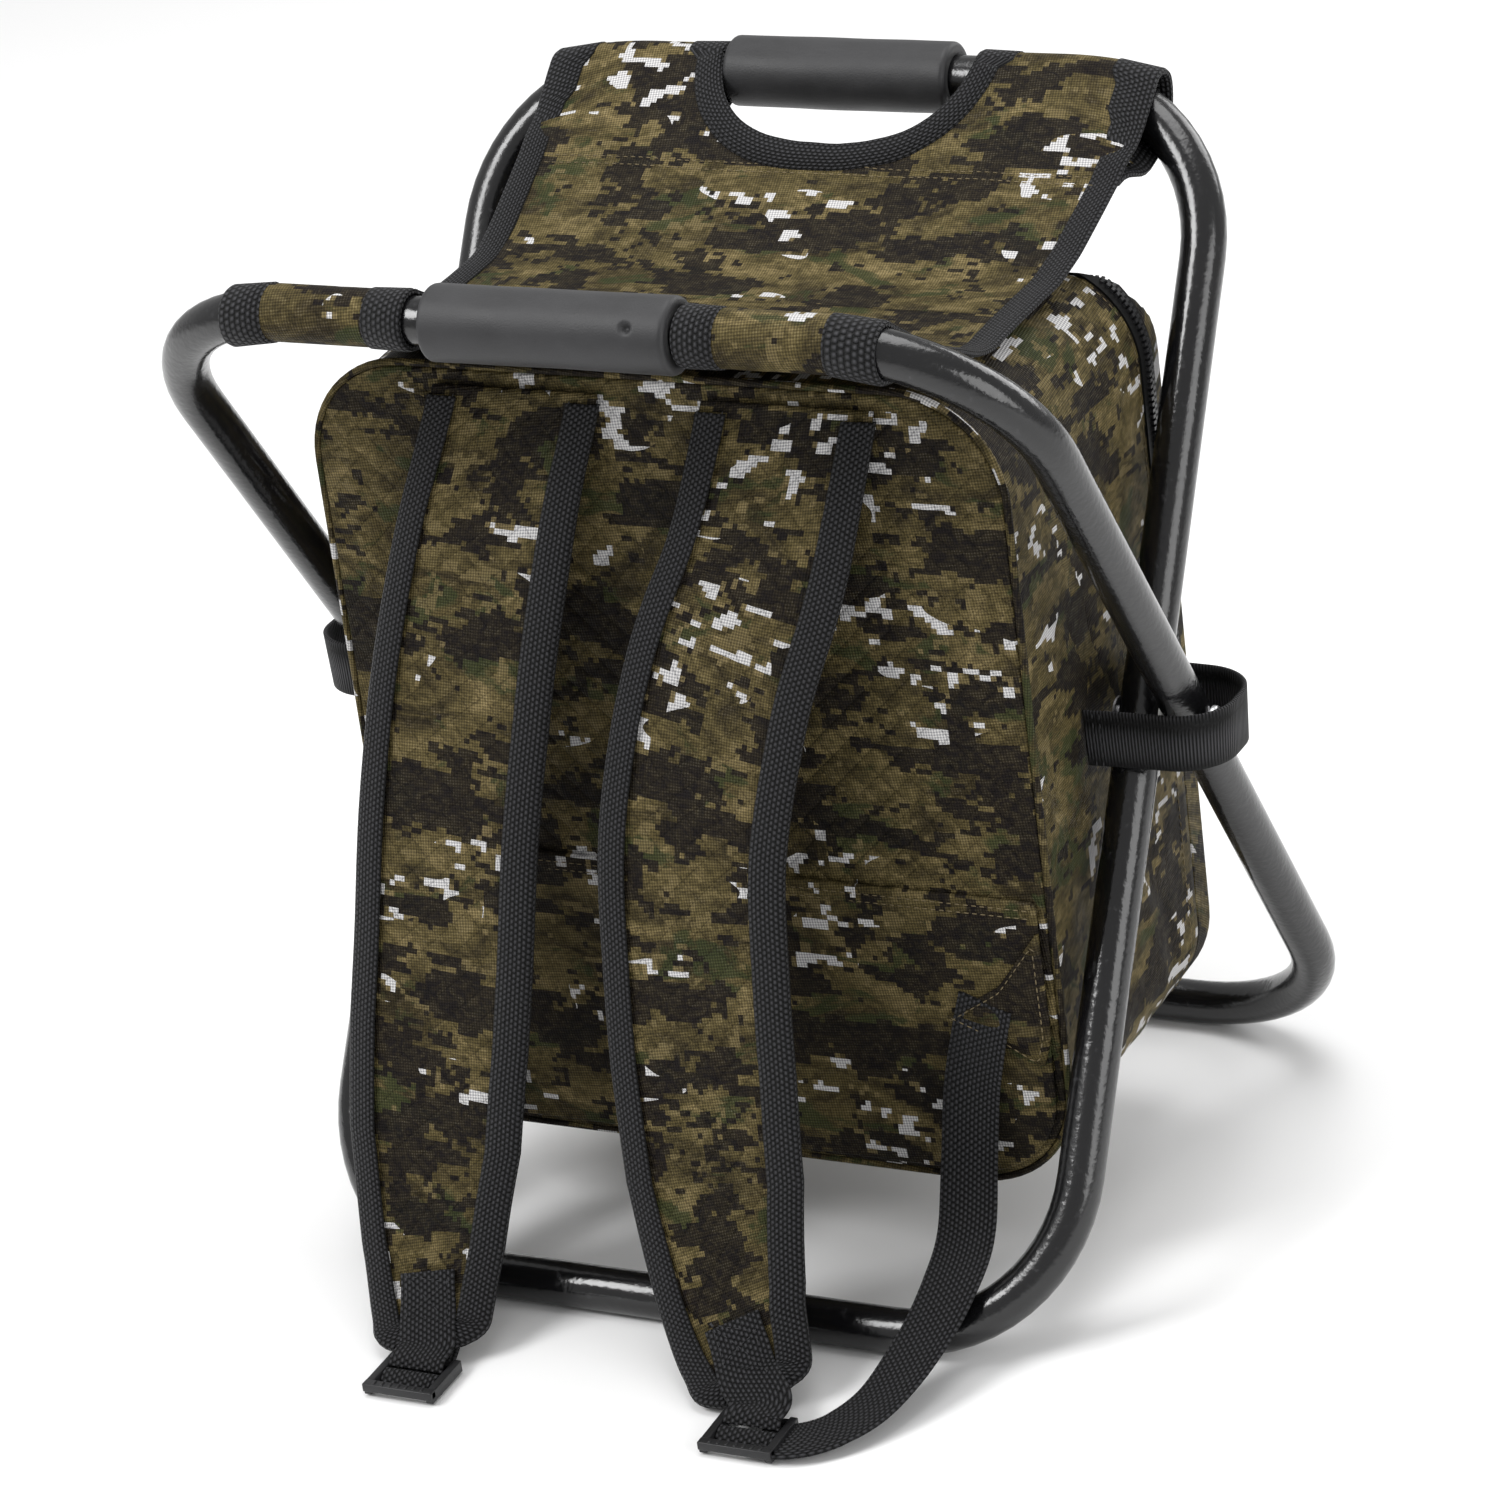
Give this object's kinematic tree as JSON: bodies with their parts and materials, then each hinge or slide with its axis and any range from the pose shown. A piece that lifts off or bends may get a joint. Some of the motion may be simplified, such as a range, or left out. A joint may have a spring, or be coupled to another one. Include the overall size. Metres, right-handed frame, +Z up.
{
  "type": "folding backpack stool",
  "caption": "Folding X-frame stool of two crossed steel tube loops with a sling seat, an insulated backpack bag hung between them, padded shoulder straps and foam carry grips.",
  "frame": {"origin": "on the floor, midway between the feet, straight below the pivots of the crossed loops", "axes": "+Z up, +X across to the right seen from the shoulder strap side, -Y towards the side that carries the shoulder straps"},
  "size_m": [0.414, 0.395, 0.454],
  "materials": {
    "frame_paint": "gloss black powder coat",
    "spigot_steel": "plain steel",
    "rivet_steel": "satin steel",
    "nylon": "natural nylon",
    "grip_foam": "matte closed-cell foam",
    "camo_fabric": "canvas weave, pixel camouflage print",
    "webbing": "ribbed black webbing and grosgrain",
    "buckle_plastic": "satin moulded acetal",
    "insulation": "white closed-cell foam",
    "lining": "wipe-clean silver lining",
    "zip_tape": "black knitted tape",
    "zip_coil": "black nylon coil",
    "zip_metal": "black enamelled metal"
  },
  "bodies": {
    "bag": {"adjuster_left": "webbing", "adjuster_right": "webbing", "back_panel": "camo_fabric", "back_pocket": "camo_fabric", "bag_zip_coil": "zip_coil", "bag_zip_tape": "zip_tape", "buckle_left": "buckle_plastic", "buckle_right": "buckle_plastic", "corner_tab_left": "camo_fabric", "corner_tab_right": "camo_fabric", "front_panel": "camo_fabric", "front_pocket": "camo_fabric", "gusset": "camo_fabric", "insulation_foam": "insulation", "liner": "lining", "near_piping": "webbing", "seat_bindings": "webbing", "seat_panel": "camo_fabric", "shoulder_strap_left": "camo_fabric", "shoulder_strap_right": "camo_fabric", "side_loop_left": "webbing", "side_loop_right": "webbing", "strap_tab_left": "webbing", "strap_tab_right": "webbing"},
    "outer_frame": {"near_grip": "grip_foam", "near_sleeve_bindings": "webbing", "near_sleeve_left": "camo_fabric", "near_sleeve_right": "camo_fabric", "outer_foot_bar": "frame_paint", "outer_foot_bends": "frame_paint", "outer_joint_rivets": "rivet_steel", "outer_legs": "frame_paint", "outer_spigot": "spigot_steel", "outer_top_bar": "frame_paint", "outer_top_bends": "frame_paint", "pivot_rivets": "rivet_steel", "pivot_spacers": "nylon", "pivot_washers": "rivet_steel"},
    "inner_frame": {"far_grip": "grip_foam", "far_sleeve_bindings": "webbing", "far_sleeve_left": "camo_fabric", "far_sleeve_right": "camo_fabric", "inner_foot_bar": "frame_paint", "inner_foot_bends": "frame_paint", "inner_joint_rivets": "rivet_steel", "inner_legs": "frame_paint", "inner_spigot": "spigot_steel", "inner_top_bar": "frame_paint", "inner_top_bends": "frame_paint"},
    "front_flap": {"flap_foam": "insulation", "flap_lining": "lining", "flap_panel": "camo_fabric", "flap_zip_coil": "zip_coil", "flap_zip_tape": "zip_tape"},
    "zip_slider": {"zip_slider": "zip_metal"},
    "zip_pull": {"zip_pull": "zip_metal"}
  },
  "joints": [
    {"name": "outer_fold", "type": "hinge", "parent": "bag", "child": "outer_frame", "pos_m": [0, 0, 0.224], "axis": [1, 0, 0], "range_deg": [-30, 0]},
    {"name": "inner_fold", "type": "hinge", "parent": "bag", "child": "inner_frame", "pos_m": [0, 0, 0.224], "axis": [1, 0, 0], "range_deg": [0, 30]},
    {"name": "flap_open", "type": "hinge", "parent": "bag", "child": "front_flap", "pos_m": [0, 0.088, 0.165], "axis": [-1, 0, 0], "range_deg": [0, 100]},
    {"name": "zip_slide", "type": "slide", "parent": "bag", "child": "zip_slider", "axis": [0, 0, 1], "range_m": [0, 0.1]},
    {"name": "pull_swing", "type": "hinge", "parent": "zip_slider", "child": "zip_pull", "pos_m": [-0.1577, 0.0702, 0.1794], "axis": [0, 1, 0], "range_deg": [0, 120]}
  ],
  "couplings": [
    {"joint": "inner_fold", "follows": "outer_fold", "ratio": -1}
  ]
}
